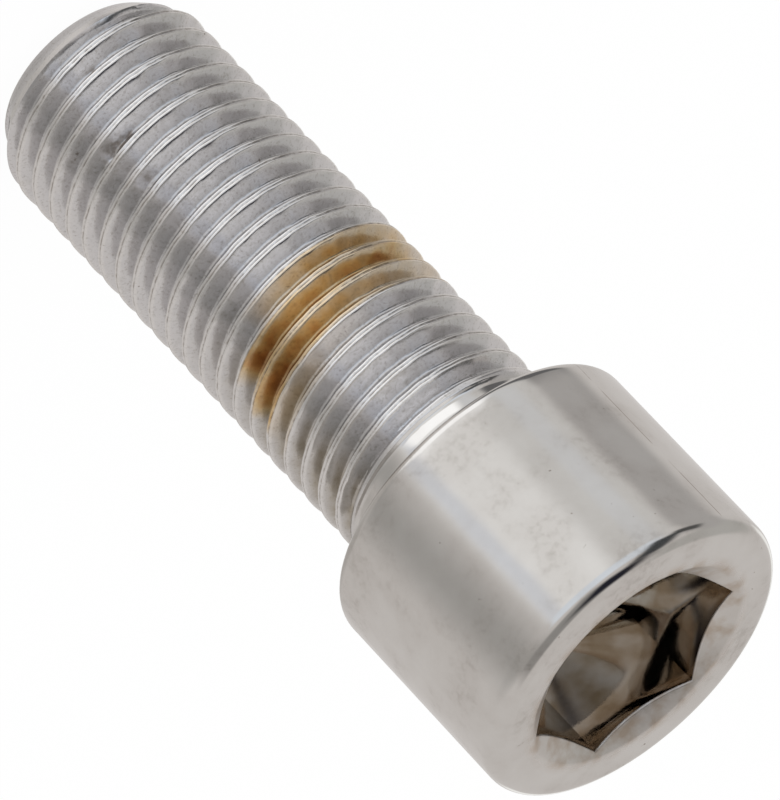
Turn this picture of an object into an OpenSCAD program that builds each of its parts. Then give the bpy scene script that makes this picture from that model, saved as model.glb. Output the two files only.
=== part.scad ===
// Hex socket cap screw, 3/8 inch with 24 threads per inch, 1 inch long, chrome plated.
// Millimetres. The origin is the centre of the head's bearing face. +Z runs along the
// screw, out of the socket. The head stands above the origin and the shank hangs below it.

/* [Head] */
// Diameter of the polished head
head_d = 13.4; // [12.8:0.1:15]
// Height of the head, from its bearing face to its top
head_h = 9.5; // [8.5:0.1:11]
// Radius that rounds the top rim
top_rim_r = 0.7; // [0.3:0.05:1.1]
// Radius that rounds the rim round the bearing face
seat_rim_r = 0.5; // [0.2:0.05:0.9]

/* [Hex socket] */
// Width of the hexagon across its flats
socket_af = 7.95; // [7:0.05:8.4]
// Depth of the six flat walls, from the top of the head
socket_depth = 4.9; // [4:0.1:6]
// Full angle of the pressed cone at the bottom
socket_cone_angle = 120; // [110:2:150]
// Full angle of the countersink round the mouth
countersink_angle = 120; // [100:2:140]
// How far the countersink reaches past the hexagon's corners
countersink_reach = 0.22; // [0.1:0.02:0.5]

/* [Shank] */
// Length of the shank, from the bearing face to its point
shank_l = 24.8; // [19:0.1:51]
// Length of the plain neck between the head and the thread
neck_l = 1.45; // [1:0.05:5]
// Diameter of the plain neck
neck_d = 9.24; // [9.1:0.02:9.26]
// Radius of the fillet where the neck meets the head
fillet_r = 0.4; // [0.2:0.05:0.8]
// Diameter of the flat at the point
point_d = 7.3; // [6:0.1:7.8]
// Length of the taper that leads from the flat to the full thread
point_l = 1.65; // [1:0.05:3]

/* [Thread] */
// Diameter over the crests of the thread
thread_d = 9.4; // [9.38:0.01:9.52]
// Rise of the thread in one turn
pitch = 1.058; // [0.95:0.001:1.3]
// Width of the crest
crest_w = 0.22; // [0.12:0.01:0.3]
// Width of the rolled root between the two flanks
root_w = 0.2; // [0.14:0.01:0.3]
// How far the rounded root dips below the foot of the flanks
root_dip = 0.05; // [0.02:0.01:0.1]
// Angle of each flank from the radius
flank_angle = 30; // [28:0.5:32]
// Length over which the groove gets shallower, next to the neck
runout_l = 0.5; // [0.2:0.05:1.5]
// Length of the plain band that ends the thread, next to the neck
band_l = 0.2; // [0.1:0.02:0.4]
// How far the plain band stands out from the neck
band_step = 0.02; // [0.01:0.005:0.04]
// Place of the groove along one turn, as a share of the pitch
thread_phase = 0.17; // [0:0.01:1]
// Flat steps in one turn of the thread
thread_steps = 40; // [24:4:48]

/* [Hidden] */

$fn = 96;
// How far a cutting shape runs past the face that it cuts
cut_over = 1;
// How far shapes that are joined run into each other
overlap = 0.02;

head_r = head_d / 2;
neck_r = neck_d / 2;
thread_r = thread_d / 2;
point_r = point_d / 2;

// The hexagon's corners, and the circle and depth of the countersink round them
socket_corner_r = socket_af / 2 / cos(30);
countersink_r = socket_corner_r + countersink_reach;
countersink_depth = countersink_r / tan(countersink_angle / 2);
socket_cone_depth = socket_af / 2 / tan(socket_cone_angle / 2);

// Half a groove's section: the foot of the flank and the groove's full depth
flank_w = (pitch - crest_w - root_w) / 2;
flank_depth = flank_w / tan(flank_angle);
groove_depth = flank_depth + root_dip;

// The flats of the band's many sides, and not only their edges, clear the round neck. A neck
// as wide as the thread ends on it with a shoulder instead
band_r = min(thread_r, (neck_r + band_step) / cos(180 / thread_steps));

// Rows of points in one turn, as [share of the pitch from the groove's centre, depth]
profile = [
    [0, groove_depth],
    [root_w / 2 / pitch, flank_depth],
    [0.5 - crest_w / 2 / pitch, 0],
    [0.5 + crest_w / 2 / pitch, 0],
    [1 - root_w / 2 / pitch, flank_depth]
];
rows_per_turn = len(profile);
thread_end_z = -neck_l;
// Turns past each end of the thread, where the rows are only cut off
spare_turns = 2;
first_turn = floor(-shank_l / pitch) - spare_turns;
turns = ceil((shank_l - neck_l) / pitch) + 2 * spare_turns;
rows = turns * rows_per_turn;
// A row nearer than this to an end of the thread is moved onto that end
snap = pitch / 40;

// Height of a row of the helix in one column, before it is cut off at the ends
function row_z(row, column) =
    pitch * (first_turn + floor(row / rows_per_turn) + profile[row % rows_per_turn][0]
             + thread_phase + column / thread_steps);

// The last row at or below the point's flat, and the first at or above the thread's end
function low_row(column) = max([for (r = [0:rows - 1]) if (row_z(r, column) < snap - shank_l) r]);
function high_row(column) = min([for (r = [0:rows - 1]) if (row_z(r, column) > thread_end_z - snap) r]);

// Share of the full groove depth that is left at a height near the neck
function groove_share(z) = min(1, max(0, (thread_end_z - band_l - z) / runout_l));

// Outer limit of the thread: a taper at the point, and the plain band at the neck
function limit_r(z) = min(
    thread_r,
    point_r + (z + shank_l) * (thread_r - point_r) / point_l,
    band_r + max(0, thread_end_z - z) * (thread_r - band_r) / band_l
);

function surface_r(row, z) =
    min(limit_r(z), thread_r - profile[row % rows_per_turn][1] * groove_share(z));

// One closed skin. Its rows follow the helix, so after the last column each row goes on
// as the row one turn higher in the first column. Rows past an end lie on that end.
module thread() {
    lows = [for (c = [0:thread_steps - 1]) low_row(c)];
    highs = [for (c = [0:thread_steps - 1]) high_row(c)];
    points = [
        for (c = [0:thread_steps - 1], r = [0:rows - 1])
            let (
                z = r <= lows[c] ? -shank_l : r >= highs[c] ? thread_end_z : row_z(r, c),
                radius = surface_r(r, z),
                angle = 360 * c / thread_steps
            )
            [radius * cos(angle), radius * sin(angle), z]
    ];
    function point_id(row, column) = column < thread_steps
        ? column * rows + min(highs[column], max(lows[column], row))
        : point_id(row + rows_per_turn, column - thread_steps);
    sides = [
        for (c = [0:thread_steps - 1], r = [-rows_per_turn:rows - 1])
            let (
                a = point_id(r, c),
                above_a = point_id(r + 1, c),
                b = point_id(r, c + 1),
                above_b = point_id(r + 1, c + 1)
            )
            each [
                if (b != above_b) [a, above_b, b],
                if (a != above_a) [a, above_a, above_b]
            ]
    ];
    point_face = [for (c = [0:thread_steps - 1]) point_id(0, c)];
    neck_face = [for (c = [thread_steps - 1:-1:0]) point_id(rows - 1, c)];
    polyhedron(points = points, faces = concat([point_face], [neck_face], sides));
}

// Section of the head, turned about the axis, with both rims rounded
module head_section() {
    square([head_r - seat_rim_r, seat_rim_r]);
    translate([0, seat_rim_r]) square([head_r, head_h - seat_rim_r - top_rim_r]);
    translate([0, head_h - top_rim_r]) square([head_r - top_rim_r, top_rim_r]);
    translate([head_r - seat_rim_r, seat_rim_r]) circle(r = seat_rim_r);
    translate([head_r - top_rim_r, head_h - top_rim_r]) circle(r = top_rim_r);
}

// Hexagonal hole with a pressed cone at the bottom and a countersunk mouth
module socket() {
    translate([0, 0, head_h - socket_depth])
        cylinder(r = socket_corner_r, h = socket_depth + cut_over, $fn = 6);
    translate([0, 0, head_h - socket_depth - socket_cone_depth])
        cylinder(r1 = 0, r2 = socket_af / 2, h = socket_cone_depth + overlap);
    translate([0, 0, head_h - countersink_depth])
        cylinder(
            r1 = 0,
            r2 = countersink_r + cut_over * tan(countersink_angle / 2),
            h = countersink_depth + cut_over
        );
}

// Plain neck that starts inside the thread's band, with a hollow fillet under the head
module neck() {
    translate([0, 0, -neck_l - band_l / 2])
        cylinder(r = neck_r, h = neck_l + band_l / 2 + fillet_r);
    rotate_extrude() difference() {
        translate([0, -fillet_r]) square([neck_r + fillet_r, 2 * fillet_r]);
        translate([neck_r + fillet_r, -fillet_r]) circle(r = fillet_r);
    }
}

module cap_screw() {
    color([0.78, 0.77, 0.75]) {
        difference() {
            rotate_extrude() head_section();
            socket();
        }
        neck();
        thread();
    }
}

cap_screw();
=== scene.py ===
import bpy
import numpy as np
from mathutils import Matrix, Vector


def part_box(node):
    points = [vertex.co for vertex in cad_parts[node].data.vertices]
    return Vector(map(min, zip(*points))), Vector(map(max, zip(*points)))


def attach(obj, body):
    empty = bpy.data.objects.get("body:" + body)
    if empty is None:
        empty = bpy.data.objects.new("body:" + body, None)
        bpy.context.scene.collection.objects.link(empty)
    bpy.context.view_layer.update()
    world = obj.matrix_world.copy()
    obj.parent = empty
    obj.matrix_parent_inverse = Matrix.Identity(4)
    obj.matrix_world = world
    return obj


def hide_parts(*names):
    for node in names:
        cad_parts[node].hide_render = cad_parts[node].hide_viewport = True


# Looks of a chrome-plated hex socket cap screw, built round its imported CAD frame.
# Lengths are in millimetres, as in the part's source, and become metres where a mesh is made.
# Azimuths run counter-clockwise round the screw's axis, from +X, seen from the head.

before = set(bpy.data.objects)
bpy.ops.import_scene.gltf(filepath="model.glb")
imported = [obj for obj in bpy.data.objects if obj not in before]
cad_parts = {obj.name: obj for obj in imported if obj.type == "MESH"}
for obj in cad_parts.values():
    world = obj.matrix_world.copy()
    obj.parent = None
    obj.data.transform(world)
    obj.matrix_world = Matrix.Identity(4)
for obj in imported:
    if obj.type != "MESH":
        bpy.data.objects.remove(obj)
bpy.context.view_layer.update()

MM = 0.001
low_corner, high_corner = (np.array(corner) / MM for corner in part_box("cap_screw"))

# Head and its two rounded rims
HEAD_R = float(min(high_corner[:2]))
HEAD_H = float(high_corner[2])
TOP_RIM_R = 0.7
SEAT_RIM_R = 0.5

# Hexagonal socket, the pressed cone at its bottom, a little narrower than the walls, and its
# countersunk mouth, whose two edges are rounded over EDGE_BREAK. A cone's half angle is measured
# from the axis.
SOCKET_AF = 7.95
SOCKET_DEPTH = 4.9
SOCKET_CONE_HALF = np.radians(60)
SOCKET_CONE_SHARE = 0.985
COUNTERSINK_HALF = np.radians(60)
COUNTERSINK_REACH = 0.22
COUNTERSINK_R = SOCKET_AF / 2 / np.cos(np.radians(30)) + COUNTERSINK_REACH
EDGE_BREAK = 0.07

# Neck: its length, its radius under the head and where it meets the thread, the length over which
# one becomes the other, how far the corner of that curve lies inside and below its wider end, and
# the fillet under the head
NECK_L = 1.45
NECK_R = 4.62
NECK_END_R = 4.55
NECK_CONE_L = 0.5
NECK_CONE_IN = 0.01
NECK_CONE_DOWN = 0.15
FILLET_R = 0.4

# Shank's length from the bearing face, and its point: the radius of the flat, the length and
# bulge of the taper, and the rounding of the edge between them
SHANK_L = -float(low_corner[2])
POINT_R = 3.65
POINT_L = 1.65
POINT_BULGE = 1.3
POINT_EDGE = 0.18
# The rows follow the helix from this height above the flat
HELIX_START = 0.3

# The rolled groove begins with a step in the taper, seen on the outline: where its deepest place
# begins, its depth, how far it reaches down and up, and the degrees where it comes and goes
START_AZIMUTH = 328
START_HEIGHT = 0.42
START_DEPTH = 0.2
START_DOWN = 0.16
START_UP = 0.7
START_COMES = (0, 8)
START_GOES = (25, 65)

# Thread: two rolled lips with a seam between them make each crest. CREST_TURN is the crest's place
# at azimuth 0, as a share of the pitch. Next to the neck a plain band ends the thread, and the
# groove gets shallower over the run-out.
THREAD_R = 4.7
PITCH = 1.058
CREST_TURN = 0.67
CREST_W = 0.22
ROOT_W = 0.2
ROOT_DIP = 0.05
FLANK_TAN = np.tan(np.radians(30))
LIP_ROUND = 0.016
ROOT_ROUND = 0.06
LIMIT_ROUND = 0.02
SEAM_DEPTH = 0.035
SEAM_W = 0.028
RUNOUT_L = 0.5
BAND_L = 0.2
# How far the crests rise and fall, and how far they stray along the axis
CREST_WAVE = 0.009
CREST_WANDER = 0.03
# Nicks in the thread: azimuth, height, half the length round the screw, half the width along the
# axis, and the depth
NICKS = [
    (293, -19.2, 0.5, 0.11, 0.2),
    (303, -18.95, 0.18, 0.2, 0.16),
    (280, -22.3, 0.3, 0.1, 0.1),
    (296, -17.1, 0.5, 0.06, 0.08),
]

# Columns of the grid round the axis: a multiple of 6, so that the hexagon's corners lie on columns
COLUMNS = 120
AZIMUTH = np.arange(COLUMNS) * 360 / COLUMNS
# Distances of the rows from a crest's centre along the axis, closer where the form is fine
HALF_ROWS = np.array([0.014, 0.032, 0.06, 0.09, 0.104, 0.114, 0.13, 0.17, 0.33, 0.4, 0.44, 0.48])
ROWS_IN_TURN = np.concatenate([[-PITCH / 2], -HALF_ROWS[::-1], [0], HALF_ROWS])
# A row of the helix nearer than this to its end is moved onto the end. Spare turns past each end
# make sure that every column reaches it.
SNAP = 0.008
SPARE_TURNS = 3
# Edges that bend by more degrees than this are shaded sharp
SHARP_ANGLE = 50

# Camera at the photograph's angle: place, aim and roll about its own axis
CAMERA_PLACE = Vector((81.814, -285.014, 151.345)) * MM
CAMERA_AIM = Vector((0.541, -2.207, -4.295)) * MM
CAMERA_ROLL = 136.7
CAMERA_LENS = 405.0
CAMERA_SENSOR = 36.0

# Studio, in metres: half the floor's side, the tent's radius, and the lamp's place and size. The
# lamp's power is in watts. FLOOR_GLOW is the share of the floor that glows to the camera, and
# WORLD_LIGHT how bright the world is as a light.
FLOOR_HALF = 1.5
FLOOR_GLOW = 0.97
TENT_R = 0.5
LAMP_PLACE = Vector((-0.08, -0.05, 0.3))
LAMP_SIZE = 0.25
LAMP_POWER = 0.3
WORLD_LIGHT = 0.75
# Grid of the tent, in degrees: the step in azimuth, the last elevation, and how many elevations
TENT_STEP = 2.5
TENT_LAST = 88
TENT_LEVELS = 89


def soft_above(value, width):
    """max(value, 0) with its corner rounded over about width: half of value plus the root of
    value squared plus width squared."""
    return (value + np.sqrt(value**2 + width**2)) / 2


def smoothstep(value, start, stop):
    """0 below start and 1 above stop, with a smooth S between them: 3t^2 - 2t^3."""
    t = np.clip((value - start) / (stop - start), 0, 1)
    return t * t * (3 - 2 * t)


def fade(distance, near, far):
    """1 nearer than near and 0 beyond far: 1 less the smooth step between them."""
    return 1 - smoothstep(distance, near, far)


def waves(azimuth, along, seed, count, longest):
    """Smooth unevenness from -1 to 1: a sum of count sine waves over the thread's unrolled
    length, each with a random direction and phase and a length from a third of longest up."""
    draw = np.random.default_rng(seed)
    total = np.zeros(np.broadcast(azimuth, along).shape)
    for _ in range(count):
        length = longest * draw.uniform(0.33, 1)
        turn, phase = draw.uniform(0, 2 * np.pi, 2)
        across = np.radians(azimuth) * THREAD_R
        total += np.sin(2 * np.pi * (across * np.cos(turn) + along * np.sin(turn)) / length + phase)
    return total / count


def groove_depth(along):
    """Depth of the thread's surface below its crest radius, at a distance along the axis from a
    crest's centre. It rises from 0 with the flank's slope, rounded at the lip and at the root,
    and dips a little more across the root. A narrow bell curve cuts the seam."""
    outside = np.abs(along) - CREST_W / 2
    flank_w = (PITCH - CREST_W - ROOT_W) / 2
    full = flank_w / FLANK_TAN
    flank = soft_above(outside, LIP_ROUND) / FLANK_TAN
    depth = full - soft_above(full - flank, ROOT_ROUND)
    across_root = (PITCH / 2 - np.abs(along)) / (ROOT_W / 2)
    depth = depth + ROOT_DIP * np.clip(1 - across_root**2, 0, 1)
    return depth + SEAM_DEPTH * np.exp(-((along / SEAM_W) ** 2))


def limit_radius(height, azimuth):
    """Outer limit of the shank, the smaller of two: near the point a slightly bulging taper, less
    a bell curve along the groove's first stretch, and elsewhere the crest radius, which steps
    down smoothly to the neck."""
    t = np.clip((height + SHANK_L) / POINT_L, 0, 1)
    taper = POINT_R + (THREAD_R - POINT_R) * (1 - (1 - t) ** POINT_BULGE)
    along_groove = (azimuth - START_AZIMUTH + 90) % 360 - 90
    begun = smoothstep(along_groove, *START_COMES) * fade(along_groove, *START_GOES)
    off_centre = height + SHANK_L - START_HEIGHT - PITCH * along_groove / 360
    reach = np.where(off_centre < 0, START_DOWN, START_UP)
    taper = taper - START_DEPTH * begun * np.exp(-((off_centre / reach) ** 2))
    step = smoothstep(height, -NECK_L - BAND_L, -NECK_L)
    return np.minimum(taper, THREAD_R - (THREAD_R - NECK_END_R) * step)


def wander(height, azimuth):
    """How far the crest's seam and lips stray along the axis from the true helix."""
    return CREST_WANDER * waves(azimuth, height, seed=5, count=8, longest=1.6)


def nick_depth(height, azimuth):
    """Depth of the nicks, each a bell-shaped dent: its depth times e to the minus squares of the
    two distances from its middle, each as a share of its half length or half width."""
    depth = 0
    for nick_azimuth, nick_height, half_l, half_w, deepest in NICKS:
        across = np.radians((azimuth - nick_azimuth + 180) % 360 - 180) * THREAD_R
        along = height - nick_height
        depth = depth + deepest * np.exp(-((across / half_l) ** 2) - (along / half_w) ** 2)
    return depth


def thread_radius(along, height, azimuth):
    """Radius of the shank: the groove's depth, less near the neck, below a slightly uneven
    crest, and nowhere outside the shank's outer limit."""
    share = np.clip((-NECK_L - BAND_L - height) / RUNOUT_L, 0, 1)
    uneven = CREST_WAVE * waves(azimuth, height, seed=3, count=9, longest=2.0)
    crest = THREAD_R - CREST_WAVE + uneven - nick_depth(height, azimuth)
    ridge = crest - groove_depth(along + wander(height, azimuth)) * share
    limit = limit_radius(height, azimuth)
    return limit - soft_above(limit - ridge, LIMIT_ROUND)


def bend(first, corner, last, steps):
    """Rows along a curve from first to last that leaves and arrives towards corner, a quadratic
    Bezier curve. Each point is a (radius, height) pair, of numbers or of arrays by column."""
    rows = []
    for t in np.linspace(0, 1, steps):
        shares = (1 - t) ** 2, 2 * t * (1 - t), t * t
        rows.append([
            sum(share * point[k] for share, point in zip(shares, (first, corner, last)))
            for k in (0, 1)
        ])
    return rows


def straight(first, last, steps):
    """Rows along a straight line from first to last, both ends left out."""
    shares = np.linspace(0, 1, steps + 2)[1:-1]
    return [[first[k] + (last[k] - first[k]) * t for k in (0, 1)] for t in shares]


def arc(centre_r, centre_z, radius, start, stop, steps):
    """Rows along a circular arc of the head's section: the centre plus radius times the angle's
    cosine and sine. Angle 0 points away from the axis and angle 90 along +Z."""
    angles = np.radians(np.linspace(start, stop, steps))
    return [[centre_r + radius * np.cos(a), centre_z + radius * np.sin(a)] for a in angles]


def as_points(rows):
    """Rows of (radius, height) as points, one row of COLUMNS points after another: the radius
    turned by each column's azimuth."""
    radius = np.array([np.broadcast_to(r, COLUMNS) for r, _ in rows])
    height = np.array([np.broadcast_to(z, COLUMNS) for _, z in rows])
    angle = np.radians(AZIMUTH)
    return np.stack([radius * np.cos(angle), radius * np.sin(angle), height], -1).reshape(-1, 3)


def point_rows():
    """Rows of the point, from the middle of its flat up to where the thread's grooves begin: a
    line, a bend round the edge and the foot of the taper."""
    foot = -SHANK_L
    begin = foot + HELIX_START
    edge_top = foot + POINT_EDGE
    rows = straight((0, foot), (POINT_R - POINT_EDGE, foot), steps=4)
    edge_end = (limit_radius(edge_top, AZIMUTH), edge_top)
    rows += bend((POINT_R - POINT_EDGE, foot), (POINT_R, foot), edge_end, steps=6)
    rows += [[limit_radius(z, AZIMUTH), z] for z in np.linspace(edge_top, begin, 4)[1:-1]]
    return rows, begin


def head_rows():
    """Rows of the neck and the outside of the head, up to the mouth of the socket: lines and arcs
    of the section, and bends at the two edges of the countersink. The hexagon's wall lies at half
    its width over the cosine of the angle from the middle of a side."""
    wall = SOCKET_AF / 2 / np.cos(np.radians(AZIMUTH % 60 - 30))
    cone_end = -NECK_L + NECK_CONE_L
    cone_corner = (NECK_R - NECK_CONE_IN, cone_end - NECK_CONE_DOWN)
    rows = bend((NECK_END_R, -NECK_L), cone_corner, (NECK_R, cone_end), steps=7)[1:]
    rows += [[NECK_R, z] for z in np.linspace(cone_end, -FILLET_R, 4)[1:-1]]
    rows += arc(NECK_R + FILLET_R, -FILLET_R, FILLET_R, 180, 90, steps=8)
    rows += straight((NECK_R + FILLET_R, 0), (HEAD_R - SEAT_RIM_R, 0), steps=3)
    rows += arc(HEAD_R - SEAT_RIM_R, SEAT_RIM_R, SEAT_RIM_R, -90, 0, steps=9)
    rows += straight((HEAD_R, SEAT_RIM_R), (HEAD_R, HEAD_H - TOP_RIM_R), steps=14)
    rows += arc(HEAD_R - TOP_RIM_R, HEAD_H - TOP_RIM_R, TOP_RIM_R, 0, 90, steps=14)
    sine, cosine = np.sin(COUNTERSINK_HALF), np.cos(COUNTERSINK_HALF)
    on_cone = (COUNTERSINK_R - EDGE_BREAK * sine, HEAD_H - EDGE_BREAK * cosine)
    rim = (COUNTERSINK_R + EDGE_BREAK, HEAD_H)
    rows += straight(rows[-1], rim, steps=4)
    rows += bend(rim, (COUNTERSINK_R, HEAD_H), on_cone, steps=5)
    mouth = (wall, HEAD_H - (COUNTERSINK_R - wall) / np.tan(COUNTERSINK_HALF))
    above = (wall + EDGE_BREAK * sine, mouth[1] + EDGE_BREAK * cosine)
    below = (wall, mouth[1] - EDGE_BREAK)
    rows += straight(on_cone, above, steps=2)
    rows += bend(above, mouth, below, steps=5)
    return rows, wall


def socket_rows(wall, top):
    """Rows of the hexagon's walls, of the ledge in its corners and of the pressed cone, whose
    depth is its radius over the tangent of half its angle."""
    floor = HEAD_H - SOCKET_DEPTH
    round_r = SOCKET_AF / 2
    rows = straight((wall, top), (wall, floor), steps=10)
    rows += [[wall, floor], [np.minimum(wall, round_r) * SOCKET_CONE_SHARE, floor]]
    tip = floor - round_r / np.tan(SOCKET_CONE_HALF)
    rows += straight((round_r * SOCKET_CONE_SHARE, floor), (0, tip), steps=6)
    return rows, tip


def rings_to_faces(rings):
    """Triangles between rows of point numbers, where each row closes on itself."""
    lower, upper = rings[:-1], rings[1:]
    next_lower, next_upper = np.roll(lower, -1, axis=1), np.roll(upper, -1, axis=1)
    first = np.stack([lower, next_lower, next_upper], -1)
    second = np.stack([lower, next_upper, upper], -1)
    return np.concatenate([first.reshape(-1, 3), second.reshape(-1, 3)])


def fan(pole, ring, upwards):
    """Triangles from a pole to a row round it, below the row or above it."""
    after = np.roll(ring, -1)
    pair = (after, ring) if upwards else (ring, after)
    return np.stack([np.full(COLUMNS, pole), *pair], -1)


def helix_grid(bottom, top):
    """Points of the threaded stretch, and the number of the point at any row and column.

    Row r of column c stands at its share of a turn plus c / COLUMNS turns, so the rows follow
    the helix. After the last column a row goes on as the row one turn higher in the first
    column. In each column, the rows past an end are all one point that lies on that end."""
    first_turn = int(np.floor(bottom / PITCH)) - SPARE_TURNS
    turns = int(np.ceil((top - bottom) / PITCH)) + 2 * SPARE_TURNS
    along = np.tile(ROWS_IN_TURN, turns)[:, None]
    turn = np.repeat(np.arange(turns) + first_turn, len(ROWS_IN_TURN))[:, None]
    height = PITCH * (turn + CREST_TURN + AZIMUTH / 360) + along
    rows = len(height)
    lows = (height < bottom + SNAP).sum(axis=0) - 1
    highs = rows - (height > top - SNAP).sum(axis=0)
    row = np.arange(rows)[:, None]
    height = np.where(row <= lows, bottom, np.where(row >= highs, top, height))
    radius = thread_radius(along, height, AZIMUTH[None, :])

    def number(row, column):
        turned = column // COLUMNS
        column = column % COLUMNS
        row = row + turned * len(ROWS_IN_TURN)
        return np.clip(row, lows[column], highs[column]) * COLUMNS + column

    angle = np.radians(AZIMUTH)
    points = np.stack([radius * np.cos(angle), radius * np.sin(angle), height], -1)
    return points.reshape(-1, 3), number, rows


def helix_faces(number, rows):
    """Triangles of the threaded stretch, two between each four points, without those that
    shrink to nothing at its ends."""
    span = np.arange(-len(ROWS_IN_TURN), rows - 1)
    row, column = np.meshgrid(span, np.arange(COLUMNS), indexing="ij")
    lower, next_lower = number(row, column), number(row, column + 1)
    upper, next_upper = number(row + 1, column), number(row + 1, column + 1)
    first = np.stack([lower, next_lower, next_upper], -1).reshape(-1, 3)
    second = np.stack([lower, next_upper, upper], -1).reshape(-1, 3)
    faces = np.concatenate([first, second])
    one, two, three = faces.T
    return faces[(one != two) & (two != three) & (three != one)]


def make_mesh(name, points, faces, slots):
    """A mesh object from points in millimetres, triangles and the material number of each."""
    used, numbers = np.unique(faces, return_inverse=True)
    points, faces = points[used] * MM, numbers.reshape(-1, 3)
    mesh = bpy.data.meshes.new(name)
    mesh.from_pydata(points, [], faces.tolist())
    mesh.polygons.foreach_set("material_index", slots.astype(np.int32))
    mesh.shade_smooth()
    mesh.set_sharp_from_angle(angle=np.radians(SHARP_ANGLE))
    made = bpy.data.objects.new(name, mesh)
    bpy.context.scene.collection.objects.link(made)
    return made


def add_screw():
    """The whole screw as one closed skin: the point, the thread, the head and the socket, one
    set of rows after another from the middle of the flat to the bottom of the socket. The socket
    has the second material."""
    low_part, begin = point_rows()
    high_part, wall = head_rows()
    inner_part, tip = socket_rows(wall, high_part[-1][1])
    turned_parts = low_part + high_part + inner_part
    helix, number, helix_rows = helix_grid(begin, -NECK_L)
    point_pole = len(helix)
    socket_pole = point_pole + 1
    first_ring = socket_pole + 1
    poles = [[0, 0, -SHANK_L], [0, 0, tip]]
    points = np.concatenate([helix, poles, as_points(turned_parts)])
    rings = first_ring + np.arange(len(turned_parts) * COLUMNS).reshape(-1, COLUMNS)
    columns = np.arange(COLUMNS)
    low_rings = np.vstack([rings[: len(low_part)], number(0, columns)])
    head_end = len(low_part) + len(high_part)
    head_rings = np.vstack([number(helix_rows, columns), rings[len(low_part) : head_end]])
    groups = [
        (0, fan(point_pole, rings[0], upwards=True)),
        (0, rings_to_faces(low_rings)),
        (0, helix_faces(number, helix_rows)),
        (0, rings_to_faces(head_rings)),
        (1, rings_to_faces(rings[head_end - 1 :])),
        (1, fan(socket_pole, rings[-1], upwards=False)),
    ]
    faces = np.concatenate([group for _, group in groups])
    slots = np.concatenate([np.full(len(group), slot) for slot, group in groups])
    return make_mesh("screw_skin", points, faces, slots)


# Amber film in four grooves: the groove's number, and the film's thickness at some azimuths
FILMED_GROOVES = [
    (-10, (150, 196, 222, 245, 270, 295, 312), (0, 0.45, 0.48, 0.6, 0.5, 0.28, 0)),
    (-9, (150, 196, 215, 226, 240, 290, 312, 325, 338), (0, 0.35, 0.5, 0.87, 0.6, 0.6, 0.8, 0.88, 0)),
    (-8, (170, 200, 230, 262, 290, 315, 330, 338, 348), (0, 0.3, 0.36, 0.5, 0.64, 0.8, 0.88, 0.82, 0)),
    (-7, (250, 290, 318, 340, 352), (0, 0.08, 0.25, 0.2, 0)),
]
# Distances from a groove's middle, in turns, between which the film thins out over the crest
FILM_EDGE = (0.46, 0.56)

# Share of the film's thickness that a crest keeps
FILM_ON_CREST = 0.7

# Between which two values a mark begins or ends: millimetres below the crests for the deep places
# and the seams, from a crest's centre for the lips, from a groove's middle for the roots, past the
# neck for the unbuffed plate, and below the head's top and past the countersink for the mouth
DEEP = (0.0, 0.3)
SEAM_ENDS = (0.1, 0.2)
LIP_ENDS = (0.12, 0.2)
ROOT_ENDS = (0.08, 0.2)
SATIN_BEGINS = (-0.1, 0.4)
MOUTH_ENDS_BELOW = (0.5, 1.5)
MOUTH_ENDS_PAST = (-0.1, 0.5)
# Grime thickens over these heights towards the head and ends over these distances from the neck.
# It lies from the first azimuths through 0 to the last.
GRIME_BEGINS = (-14, -4)
GRIME_ENDS = (0.0, 0.4)
GRIME_FROM = (305, 345)
GRIME_TO = (20, 60)
# Share of dirt in a nick for each millimetre of its depth
NICK_DIRT = 12

# A fine scratch runs down the head at one azimuth, filled with dirt where it is deep enough: the
# most dirt in it, and the distances from its middle between which the dirt fades out
SCRATCH_AZIMUTH = np.radians(223.2)
SCRATCH_TOWARDS = (np.cos(SCRATCH_AZIMUTH), np.sin(SCRATCH_AZIMUTH), 0)
SCRATCH_ACROSS = (-np.sin(SCRATCH_AZIMUTH), np.cos(SCRATCH_AZIMUTH), 0)
SCRATCH_DIRT = 0.6
SCRATCH_EDGE = (0.01, 0.035)


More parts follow.
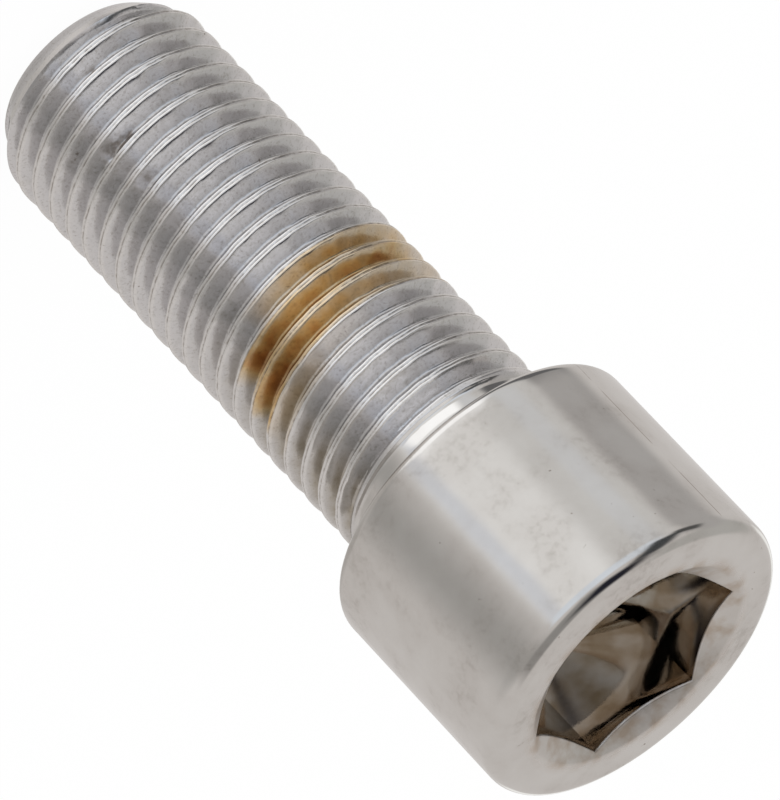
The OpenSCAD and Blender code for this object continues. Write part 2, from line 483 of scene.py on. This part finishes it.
def set_marks(screw):
    """Point attributes that the plate reads. satin is 1 on the unbuffed thread, and mouth is 1 in
    the countersink and at the socket's edge, where buffing didn't reach. film is the thickness of
    the amber film, less on the crests. grime is 1 deep in the grooves near the head, on the side
    where dirt has gathered. seam is 1 between the two lips of a crest and in the nicks, lip is 1
    on the lips, and root is 1 along the grooves' bottoms. Each is a product of smooth steps of
    the height, the azimuth, the depth below the crests or the distance from a crest's centre."""
    place = np.zeros(len(screw.data.vertices) * 3)
    screw.data.vertices.foreach_get("co", place)
    x, y, z = place.reshape(-1, 3).T / MM
    azimuth = np.degrees(np.arctan2(y, x)) % 360
    radius = np.hypot(x, y)
    deep = smoothstep(THREAD_R - radius, *DEEP)
    crest_turn = z / PITCH - azimuth / 360 - CREST_TURN
    film = np.zeros(len(x))
    for turn, azimuths, thickness in FILMED_GROOVES:
        inside = fade(np.abs(crest_turn + 0.5 - turn), *FILM_EDGE)
        film = np.maximum(film, inside * np.interp(azimuth, azimuths, thickness, 0, 0))
    past_neck = -z - NECK_L
    threaded = smoothstep(past_neck, BAND_L, RUNOUT_L)
    along = (crest_turn - np.round(crest_turn)) * PITCH + wander(z, azimuth)
    from_crest = np.abs(along)
    seam = np.exp(-((along / SEAM_W) ** 2)) * fade(THREAD_R - radius, *SEAM_ENDS)
    grimy_side = smoothstep(azimuth, *GRIME_FROM) + fade(azimuth, *GRIME_TO)
    grimy_length = smoothstep(z, *GRIME_BEGINS) * smoothstep(past_neck, *GRIME_ENDS)
    marks = {
        # lip also places a painted highlight on the lips, besides their wear
        "lip": threaded * fade(from_crest, *LIP_ENDS),
        # root places painted shade along the grooves' bottoms
        "root": threaded * fade(PITCH / 2 - from_crest, *ROOT_ENDS),
        "seam": threaded * np.clip(seam + NICK_DIRT * nick_depth(z, azimuth), 0, 1),
        "satin": smoothstep(past_neck, *SATIN_BEGINS),
        "mouth": fade(HEAD_H - z, *MOUTH_ENDS_BELOW) * fade(radius - COUNTERSINK_R, *MOUTH_ENDS_PAST),
        "film": film * (FILM_ON_CREST + (1 - FILM_ON_CREST) * deep),
        "grime": deep * grimy_side * grimy_length,
    }
    for name, values in marks.items():
        layer = screw.data.attributes.new(name, "FLOAT", "POINT")
        layer.data.foreach_set("value", values.astype(np.float32))


def linear(colour):
    """An sRGB hex colour as linear RGBA: each channel through the sRGB curve."""
    srgb = np.array([int(colour[k : k + 2], 16) for k in (1, 3, 5)]) / 255
    channels = np.where(srgb <= 0.04045, srgb / 12.92, ((srgb + 0.055) / 1.055) ** 2.4)
    return (*channels.tolist(), 1.0)


def add_node(tree, kind, inputs=(), stops=(), **settings):
    """Adds a node, sets its properties, and gives each input a value or links it to a socket. A
    colour ramp gets its stops, as (place, hex colour) pairs."""
    made = tree.nodes.new(kind)
    for name, value in settings.items():
        setattr(made, name, value)
    for key, value in dict(inputs).items():
        if isinstance(value, bpy.types.NodeSocket):
            tree.links.new(value, made.inputs[key])
        else:
            made.inputs[key].default_value = value
    if stops:
        elements = made.color_ramp.elements
        while len(elements) < len(stops):
            elements.new(0.5)
        for element, (place, colour) in zip(elements, stops):
            element.position = place
            element.color = linear(colour)
    return made


def new_material(name):
    """An empty node material and its tree."""
    material = bpy.data.materials.new(name)
    material.use_nodes = True
    material.node_tree.nodes.clear()
    return material, material.node_tree


# Patterns in the plate: the size of their grain in millimetres, their detail and roughness. The
# real grit is a few hundredths wide, and it is drawn as coarse as it needs to be to show.
PLATE_PATTERNS = {
    "clouds": (2.2, 4.0, 0.5),
    "buffing": (1.6, 1.0, 0.5),
    "patches": (0.8, 4.0, 0.5),
    "smudges": (0.3, 3.0, 0.5),
    "rust": (0.3, 1.5, 0.5),
    "grit": (0.12, 3.0, 0.7),
}
# What the patterns are turned into: the pattern, its values at two places, and the share of a
# layer, the thickness of a film or the roughness that they stand for
PLATE_SHARES = {
    "dull": ("clouds", 0.35, 0.65, 0.0, 0.5),
    "haze": ("clouds", 0.35, 0.65, 0.06, 0.15),
    "handled": ("clouds", 0.48, 0.66, 0.0, 1.0),
    "scratched": ("clouds", 0.42, 0.48, 0.0, 1.0),
    "pits": ("grit", 0.34, 0.46, 0.45, 0.0),
    "spots": ("smudges", 0.46, 0.7, 0.0, 0.32),
    "seam_dirt": ("smudges", 0.38, 0.6, 0.1, 0.6),
    "rust_dots": ("rust", 0.76, 0.81, 0.0, 0.6),
    "uneven": ("patches", 0.3, 0.7, 0.7, 1.25),
    "stain": ("patches", 0.42, 0.66, 0.08, 0.55),
}
PLATE_MARKS = ("satin", "film", "grime", "mouth", "lip", "root", "seam")
# Roughness where a mark is full. Elsewhere the buffed head has its haze.
PLATE_ROUGHNESS = [("satin", 0.17), ("lip", 0.2), ("mouth", 0.42)]
# What light keeps of its colour on its way through the amber film, by the film's thickness
AMBER = [(0, "#ffffff"), (0.3, "#fceed8"), (0.6, "#f4d6a4"), (0.85, "#e0b07c"), (1, "#cb9a6c")]


def scratch_share(tree, place, scratched):
    """Share of dirt in the fine scratch down the head: a line where the distance from the plane
    through the axis is small, on the outside of the head and on the scratch's own side."""
    aside = add_node(tree, "ShaderNodeVectorMath", {
        0: place, 1: SCRATCH_ACROSS,
    }, operation="DOT_PRODUCT")
    aside = add_node(tree, "ShaderNodeMath", {0: aside.outputs["Value"]}, operation="ABSOLUTE")
    line = add_node(tree, "ShaderNodeMapRange", {
        "Value": aside.outputs[0], "From Min": SCRATCH_EDGE[0] * MM,
        "From Max": SCRATCH_EDGE[1] * MM, "To Min": SCRATCH_DIRT, "To Max": 0.0,
    })
    ahead = add_node(tree, "ShaderNodeVectorMath", {
        0: place, 1: SCRATCH_TOWARDS,
    }, operation="DOT_PRODUCT")
    outside = add_node(tree, "ShaderNodeMath", {
        0: ahead.outputs["Value"], 1: 0.98 * HEAD_R * MM,
    }, operation="GREATER_THAN")
    share = line.outputs["Result"]
    for limit in (outside.outputs[0], scratched):
        share = add_node(tree, "ShaderNodeMath", {0: share, 1: limit}, operation="MULTIPLY").outputs[0]
    return share


def plate_colour(tree, place, mark, share):
    """Colour of the plate. The polished head and the unbuffed thread have base colours of their
    own. Layers lie over them, each mixed in by its share: handling smudges, lips lightened partly
    by wear and partly as a painted highlight, painted shade in the roots, dirt in the scratch, the
    seams and the rust dots, and the stain round the mouth. The amber film multiplies what is below
    it, and grime lies over all."""
    polished = add_node(tree, "ShaderNodeMix", {
        "Factor": share["dull"], "A": linear("#d9d7d4"), "B": linear("#c6c1bc"),
    }, data_type="RGBA")
    unbuffed = add_node(tree, "ShaderNodeMix", {
        "Factor": share["pits"], "A": linear("#d7d6d7"), "B": linear("#958f87"),
    }, data_type="RGBA")
    colour = add_node(tree, "ShaderNodeMix", {
        "Factor": mark["satin"], "A": polished.outputs["Result"], "B": unbuffed.outputs["Result"],
    }, data_type="RGBA")

    # The second and third shares here lighten the lips, partly as wear and partly as a painted highlight,
    # and darken the grooves' bottoms as painted shade.
    handled, lip_wear_and_highlight, root_shade, seams, stain, thickness, thick_grime = (
        add_node(tree, "ShaderNodeMath", {0: one, 1: other}, operation="MULTIPLY").outputs[0]
        for one, other in (
            (share["spots"], share["handled"]),
            (mark["lip"], 0.4),
            (mark["root"], 0.12),
            (share["seam_dirt"], mark["seam"]),
            (share["stain"], mark["mouth"]),
            (mark["film"], share["uneven"]),
            (mark["grime"], share["uneven"]),
        )
    )
    dirt = scratch_share(tree, place, share["scratched"])
    for other in (share["rust_dots"], seams):
        dirt = add_node(tree, "ShaderNodeMath", {0: dirt, 1: other}, operation="MAXIMUM").outputs[0]
    # The pale layer on the lips is partly wear and partly a painted highlight; the grey layer in the roots
    # is painted shade.
    layers = [
        (handled, "#9b968e"), (lip_wear_and_highlight, "#f6f3ee"), (root_shade, "#6f6c68"), (dirt, "#6b5a48"), (stain, "#a58c6e"),
    ]
    for part, hex_colour in layers:
        colour = add_node(tree, "ShaderNodeMix", {
            "Factor": part, "A": colour.outputs["Result"], "B": linear(hex_colour),
        }, data_type="RGBA")

    amber = add_node(tree, "ShaderNodeValToRGB", {"Fac": thickness}, AMBER)
    filmed = add_node(tree, "ShaderNodeMix", {
        "Factor": 1.0, "A": colour.outputs["Result"], "B": amber.outputs["Color"],
    }, data_type="RGBA", blend_type="MULTIPLY")
    grime = add_node(tree, "ShaderNodeMath", {
        0: thick_grime, 1: 0.6,
    }, operation="MULTIPLY", use_clamp=True)
    return add_node(tree, "ShaderNodeMix", {
        "Factor": grime.outputs[0], "A": filmed.outputs["Result"], "B": linear("#8a7c5c"),
    }, data_type="RGBA")


def chromium_plate():
    """Bright chromium electroplate on steel. The head is ground and buffed first, so it mirrors
    its surroundings with a little haze and a slow waviness. The rolled thread isn't, so it is
    satin, with a fine grit that shows as small dark pits and a rougher shine on its lips. The
    countersink, which the buff can't reach, is duller still."""
    material, tree = new_material("bright_chromium_plate")
    place = add_node(tree, "ShaderNodeTexCoord").outputs["Object"]
    mark = {
        name: add_node(tree, "ShaderNodeAttribute", attribute_name=name).outputs["Fac"]
        for name in PLATE_MARKS
    }
    pattern = {
        name: add_node(tree, "ShaderNodeTexNoise", {
            "Vector": place, "Scale": 1 / (size * MM), "Detail": detail, "Roughness": roughness,
        }).outputs["Fac"]
        for name, (size, detail, roughness) in PLATE_PATTERNS.items()
    }
    share = {
        name: add_node(tree, "ShaderNodeMapRange", {
            "Value": pattern[source], "From Min": low, "From Max": high, "To Min": first, "To Max": last,
        }).outputs["Result"]
        for name, (source, low, high, first, last) in PLATE_SHARES.items()
    }
    rough = share["haze"]
    for name, roughness in PLATE_ROUGHNESS:
        rough = add_node(tree, "ShaderNodeMix", {
            "Factor": mark[name], "A": rough, "B": roughness,
        }, data_type="FLOAT").outputs["Result"]
    waviness = add_node(tree, "ShaderNodeBump", {
        "Height": pattern["buffing"], "Strength": 1.0, "Distance": 0.01 * MM,
    })
    roughened = add_node(tree, "ShaderNodeBump", {
        "Height": pattern["grit"], "Strength": mark["satin"], "Distance": 0.003 * MM,
        "Normal": waviness.outputs["Normal"],
    })
    shader = add_node(tree, "ShaderNodeBsdfPrincipled", {
        "Base Color": plate_colour(tree, place, mark, share).outputs["Result"], "Metallic": 1.0,
        "Roughness": rough, "Normal": roughened.outputs["Normal"],
    })
    add_node(tree, "ShaderNodeOutputMaterial", {"Surface": shader.outputs[0]})
    return material


def socket_steel():
    """Steel in the pressed socket, which the plating bath hardly reaches: smooth from the punch,
    so it mirrors sharply, grey and slightly warm, with a brown tarnish towards the mouth. Each
    reflection from wall to wall makes it darker and browner. Its clouds are 1.3 mm across."""
    material, tree = new_material("tarnished_steel_in_socket")
    place = add_node(tree, "ShaderNodeTexCoord").outputs["Object"]
    cloud = add_node(tree, "ShaderNodeTexNoise", {"Vector": place, "Scale": 1 / (1.3 * MM), "Detail": 4.0})
    tone = add_node(tree, "ShaderNodeValToRGB", {"Fac": cloud.outputs["Fac"]}, [
        (0.36, "#bdb2a2"), (0.5, "#d0cac2"), (0.64, "#d8d5d1"),
    ])
    height = add_node(tree, "ShaderNodeSeparateXYZ", {0: place}).outputs["Z"]
    upper = add_node(tree, "ShaderNodeMapRange", {
        "Value": height, "From Min": (HEAD_H - 1.6) * MM, "From Max": (HEAD_H - 0.3) * MM,
        "To Max": 0.65,
    })
    browned = add_node(tree, "ShaderNodeMix", {
        "Factor": upper.outputs["Result"], "A": tone.outputs["Color"], "B": linear("#977b5e"),
    }, data_type="RGBA")
    bump = add_node(tree, "ShaderNodeBump", {
        "Height": cloud.outputs["Fac"], "Strength": 1.0, "Distance": 0.003 * MM,
    })
    shader = add_node(tree, "ShaderNodeBsdfPrincipled", {
        "Base Color": browned.outputs["Result"], "Metallic": 1.0, "Roughness": 0.05,
        "Normal": bump.outputs["Normal"],
    })
    add_node(tree, "ShaderNodeOutputMaterial", {"Surface": shader.outputs[0]})
    return material


def add_camera():
    """A long lens that looks from its place at its aim, turned about its own axis."""
    data = bpy.data.cameras.new("camera")
    data.lens = CAMERA_LENS
    data.sensor_width = CAMERA_SENSOR
    data.clip_start = 0.01
    data.clip_end = 10
    camera = bpy.data.objects.new("camera", data)
    bpy.context.scene.collection.objects.link(camera)
    turn = (CAMERA_AIM - CAMERA_PLACE).to_track_quat("-Z", "Y").to_matrix()
    roll = Matrix.Rotation(np.radians(CAMERA_ROLL), 3, "Z")
    camera.matrix_world = Matrix.Translation(CAMERA_PLACE) @ (turn @ roll).to_4x4()
    bpy.context.scene.camera = camera


def looked_at(tree):
    """1 for rays that look at a thing, from the camera, by a mirror or through glass, and 0 for
    those that gather its light: the largest of the three flags."""
    ray = add_node(tree, "ShaderNodeLightPath")
    seen = ray.outputs["Is Camera Ray"]
    for flag in ("Is Glossy Ray", "Is Transmission Ray"):
        seen = add_node(tree, "ShaderNodeMath", {
            0: seen, 1: ray.outputs[flag],
        }, operation="MAXIMUM").outputs[0]
    return seen


def add_floor():
    """A pale floor at the screw's point. It shows white to the camera and keeps a soft shadow,
    because a small share of what the camera sees is plain paper and the rest glows."""
    low = -SHANK_L * MM
    corners = [(-1, -1), (1, -1), (1, 1), (-1, 1)]
    mesh = bpy.data.meshes.new("floor")
    mesh.from_pydata([(x * FLOOR_HALF, y * FLOOR_HALF, low) for x, y in corners], [], [(0, 1, 2, 3)])
    floor = bpy.data.objects.new("floor", mesh)
    bpy.context.scene.collection.objects.link(floor)
    material, tree = new_material("white_paper_floor")
    share = add_node(tree, "ShaderNodeMath", {
        0: looked_at(tree), 1: FLOOR_GLOW,
    }, operation="MULTIPLY")
    paper = add_node(tree, "ShaderNodeBsdfDiffuse", {"Color": linear("#fafafa")})
    glow = add_node(tree, "ShaderNodeEmission", {"Color": (1, 1, 1, 1), "Strength": 1.0})
    mixed = add_node(tree, "ShaderNodeMixShader", {
        0: share.outputs[0], 1: paper.outputs[0], 2: glow.outputs[0],
    })
    add_node(tree, "ShaderNodeOutputMaterial", {"Surface": mixed.outputs[0]})
    mesh.materials.append(material)
    floor.visible_glossy = False


# What the metal mirrors, as soft-edged cards on a round tent: azimuth and elevation of the card's
# middle, half its width and height and the width of its soft edge, in degrees, and its linear
# red, green and blue. A later card lies over the ones before it.
TENT_COLOUR = (0.69, 0.662, 0.645)
CARDS = [
    (165, 30, 20, 34, 14, (0.52, 0.51, 0.49)),
    (187, -18, 17, 46, 12, (0.49, 0.475, 0.465)),
    (190, -52, 18, 20, 9, (0.16, 0.16, 0.165)),
    (238, -20, 28, 46, 8, (0.74, 0.73, 0.72)),
    (225, -20, 7, 46, 6, (0.75, 0.755, 0.77)),
    (280, -20, 25, 46, 16, (0.96, 0.955, 0.95)),
    (338, -2, 18, 62, 34, (0.44, 0.43, 0.415)),
    (301, -20, 5, 46, 6, (0.80, 0.82, 0.87)),
    (48, -60, 30, 22, 18, (0.52, 0.50, 0.48)),
    (268, -54, 24, 19, 9, (1.36, 1.37, 1.39)),
    (112, -9, 28, 6, 6, (1.05, 1.05, 1.03)),
    (262, 19, 40, 16, 10, (0.84, 0.90, 0.98)),
    (200, 13, 11, 8, 7, (0.10, 0.10, 0.10)),
    (217, 34, 11, 20, 9, (0.07, 0.075, 0.08)),
    (312, 72, 28, 22, 14, (0.34, 0.33, 0.32)),
    (238, 69, 17, 15, 16, (0.02, 0.02, 0.03)),
]


def tent_glow(direction):
    """Colour of the tent in each direction. Each card has axes of its own: the direction is
    turned back by the card's azimuth and then by its elevation, so that its longitude and
    latitude are the distances from the card's middle. The card is laid on with a weight that
    falls smoothly from 1 to 0 across its edge."""
    glow = np.broadcast_to(TENT_COLOUR, direction.shape).copy()
    for card_azimuth, card_elevation, half_w, half_h, soft, colour in CARDS:
        turn, lift = np.radians(card_azimuth), np.radians(card_elevation)
        ahead = direction @ (np.cos(turn) * np.cos(lift), np.sin(turn) * np.cos(lift), np.sin(lift))
        aside = direction @ (-np.sin(turn), np.cos(turn), 0)
        above = direction @ (-np.cos(turn) * np.sin(lift), -np.sin(turn) * np.sin(lift), np.cos(lift))
        across = np.abs(np.degrees(np.arctan2(aside, ahead)))
        up = np.abs(np.degrees(np.arcsin(np.clip(above, -1, 1))))
        weight = fade(across, half_w - soft / 2, half_w + soft / 2)
        weight = weight * fade(up, half_h - soft / 2, half_h + soft / 2)
        glow += weight[..., None] * (np.array(colour) - glow)
    return glow


def add_tent():
    """A round studio tent that only mirror-like rays see: a sphere on a grid of azimuth and
    elevation, closed by a flat cap at each pole, with its glow in a colour attribute."""
    azimuths = np.radians(np.arange(0, 360, TENT_STEP))
    elevations = np.radians(np.linspace(-TENT_LAST, TENT_LAST, TENT_LEVELS))
    turn, lift = np.meshgrid(azimuths, elevations, indexing="ij")
    direction = np.stack([np.cos(lift) * np.cos(turn), np.cos(lift) * np.sin(turn), np.sin(lift)], -1)
    rows, levels = turn.shape
    number = np.arange(rows * levels).reshape(rows, levels)
    after = np.roll(number, -1, axis=0)
    faces = np.stack([number[:, :-1], number[:, 1:], after[:, 1:], after[:, :-1]], -1).reshape(-1, 4)
    caps = [number[:, 0].tolist(), number[::-1, -1].tolist()]
    mesh = bpy.data.meshes.new("light_tent")
    mesh.from_pydata(TENT_R * direction.reshape(-1, 3), [], faces.tolist() + caps)
    layer = mesh.color_attributes.new("glow", "FLOAT_COLOR", "POINT")
    rgba = np.concatenate([tent_glow(direction), np.ones((rows, levels, 1))], -1)
    layer.data.foreach_set("color", rgba.ravel())
    tent = bpy.data.objects.new("light_tent", mesh)
    bpy.context.scene.collection.objects.link(tent)
    material, tree = new_material("tent_cloth_and_cards")
    glow = add_node(tree, "ShaderNodeAttribute", attribute_name="glow")
    cloth = add_node(tree, "ShaderNodeEmission", {"Color": glow.outputs["Color"], "Strength": 1.0})
    add_node(tree, "ShaderNodeOutputMaterial", {"Surface": cloth.outputs[0]})
    mesh.materials.append(material)
    tent.visible_camera = tent.visible_diffuse = tent.visible_transmission = False
    tent.visible_volume_scatter = tent.visible_shadow = False


def add_lights():
    """A plain pale world, white to the camera and dimmer as a light, and one large soft lamp
    above the screw."""
    world = bpy.data.worlds.new("studio")
    world.use_nodes = True
    tree = world.node_tree
    tree.nodes.clear()
    level = add_node(tree, "ShaderNodeMapRange", {
        "Value": looked_at(tree), "To Min": WORLD_LIGHT, "To Max": 1.0,
    })
    sky = add_node(tree, "ShaderNodeBackground", {
        "Color": (1, 1, 1, 1), "Strength": level.outputs["Result"],
    })
    add_node(tree, "ShaderNodeOutputWorld", {"Surface": sky.outputs[0]})
    bpy.context.scene.world = world
    lamp = bpy.data.lights.new("soft_lamp", "AREA")
    lamp.shape = "DISK"
    lamp.size = LAMP_SIZE
    lamp.energy = LAMP_POWER
    lamp_object = bpy.data.objects.new("soft_lamp", lamp)
    bpy.context.scene.collection.objects.link(lamp_object)
    lamp_object.location = LAMP_PLACE
    lamp_object.rotation_euler = LAMP_PLACE.to_track_quat("Z", "Y").to_euler()
    lamp_object.visible_glossy = False


add_camera()
screw = add_screw()
set_marks(screw)
for material in (chromium_plate(), socket_steel()):
    screw.data.materials.append(material)
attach(screw, "root")
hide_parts("cap_screw")
add_floor()
add_tent()
add_lights()
bpy.context.scene.view_settings.view_transform = "Standard"
